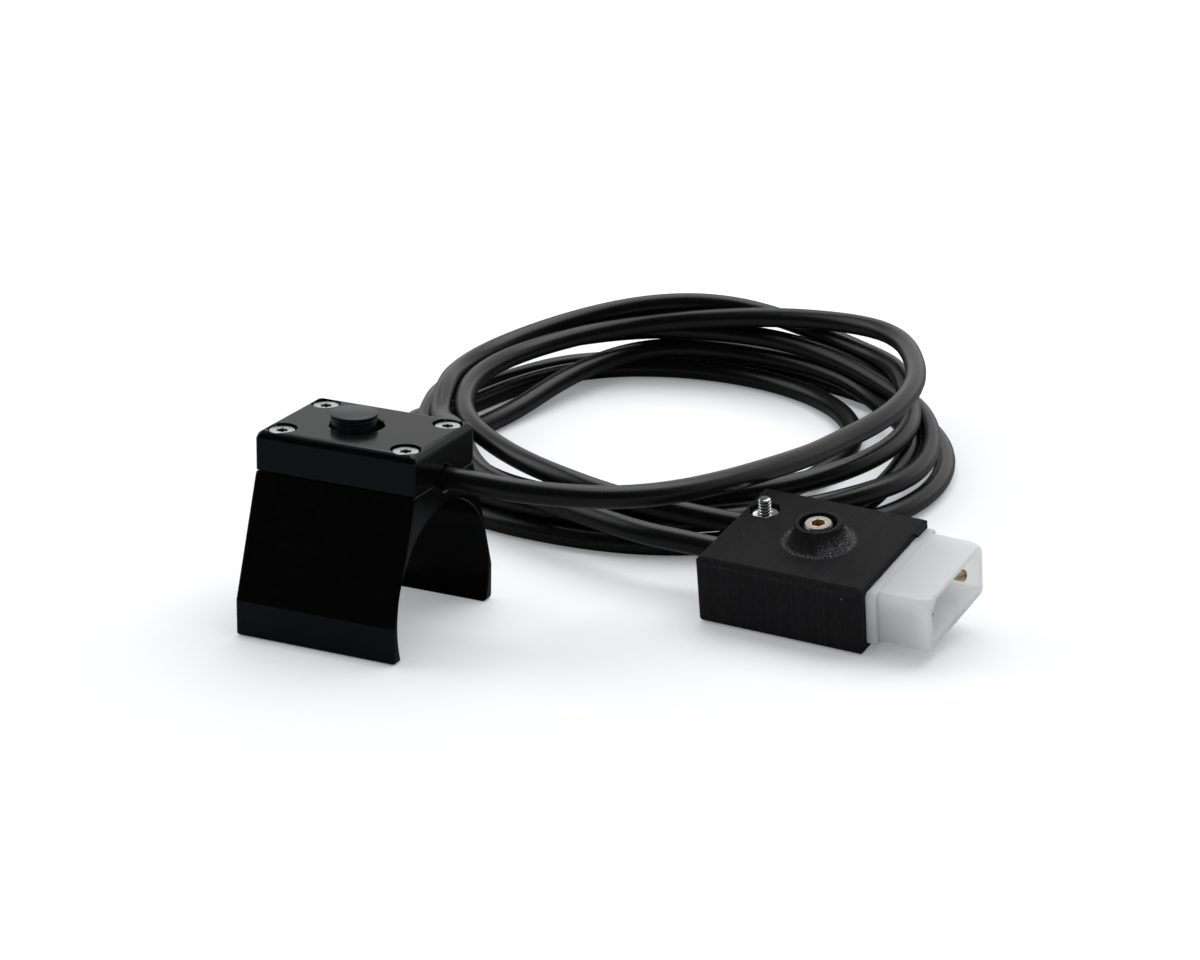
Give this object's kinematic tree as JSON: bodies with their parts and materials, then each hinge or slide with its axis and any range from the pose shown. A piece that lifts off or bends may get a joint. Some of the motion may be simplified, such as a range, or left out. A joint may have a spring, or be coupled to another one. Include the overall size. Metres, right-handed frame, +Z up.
{
  "type": "saddle-mounted push-button switch with cable and plug",
  "caption": "Bored saddle clamp carrying a small push-button switch, with a coiled round cable that ends in a printed shell around a white pin plug.",
  "frame": {"origin": "on the floor, under the middle of the saddle's feet", "axes": "+Z up, +X along the saddle towards the end where the cable leaves, +Y across it towards the coiled cable"},
  "size_m": [0.1555, 0.1922, 0.0397],
  "materials": {
    "black_anodised": "satin black anodised",
    "cap_plastic": "matt",
    "stainless": "plain",
    "zinc": "bright zinc plated",
    "case_plastic": "matt",
    "stem_plastic": "matt",
    "board_green": "solder resist over glass laminate",
    "dome_steel": "bright spring steel",
    "cable_black": "smooth PVC jacket",
    "printed_black": "fine printed layers",
    "nylon": "milky nylon",
    "brass": "tinned brass",
    "core_red": "smooth insulation",
    "core_black": "smooth insulation"
  },
  "bodies": {
    "base": {"saddle_bracket": "black_anodised", "switch_housing": "black_anodised", "housing_screw_1": "stainless", "housing_screw_2": "stainless", "housing_screw_3": "stainless", "housing_screw_4": "stainless", "switch_case": "case_plastic", "contact_dome": "dome_steel", "switch_cover": "stainless", "circuit_board": "board_green", "cable_stop_ring": "stainless", "switch_core_1": "core_black", "switch_core_2": "core_red", "cable_lead": "cable_black", "cable_coil": "cable_black", "cable_tail": "cable_black", "plug_shell": "printed_black", "cap_screw": "stainless", "cap_screw_nut": "stainless", "clamp_screw": "zinc", "clamp_washer": "zinc", "clamp_nut": "zinc", "plug_housing": "nylon", "contact_pin_1": "brass", "contact_pin_2": "brass", "plug_core_1": "core_black", "plug_core_2": "core_red"},
    "button": {"button_cap": "cap_plastic", "switch_stem": "stem_plastic"}
  },
  "joints": [
    {"name": "button_press", "type": "slide", "parent": "base", "child": "button", "axis": [0, 0, -1], "range_m": [0, 0.0005], "stiffness_N_per_m": 800, "springref_m": -0.0005}
  ]
}
